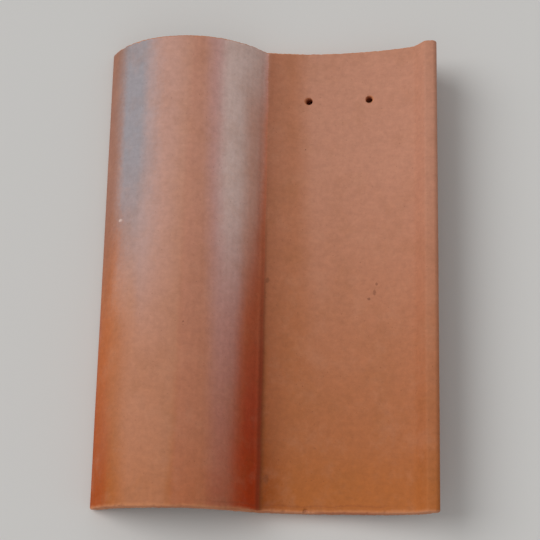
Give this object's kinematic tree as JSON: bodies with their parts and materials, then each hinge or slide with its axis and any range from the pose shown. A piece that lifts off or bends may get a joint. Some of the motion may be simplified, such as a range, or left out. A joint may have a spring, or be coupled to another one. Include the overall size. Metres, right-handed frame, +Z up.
{
  "type": "clay roof tile",
  "caption": "Fired clay roof tile with a round roll on the left and a dished pan with an upturned lip on the right.",
  "frame": {"origin": "centre of the footprint, on the floor that the tile lies on", "axes": "+Y up the slope from the tail to the head, +X across from the roll to the pan, +Z up"},
  "size_m": [0.2378, 0.337, 0.0437],
  "materials": {
    "fired_clay": "matt, kiln flashed"
  },
  "bodies": {
    "root": {"roof_tile": "fired_clay"}
  },
  "joints": []
}
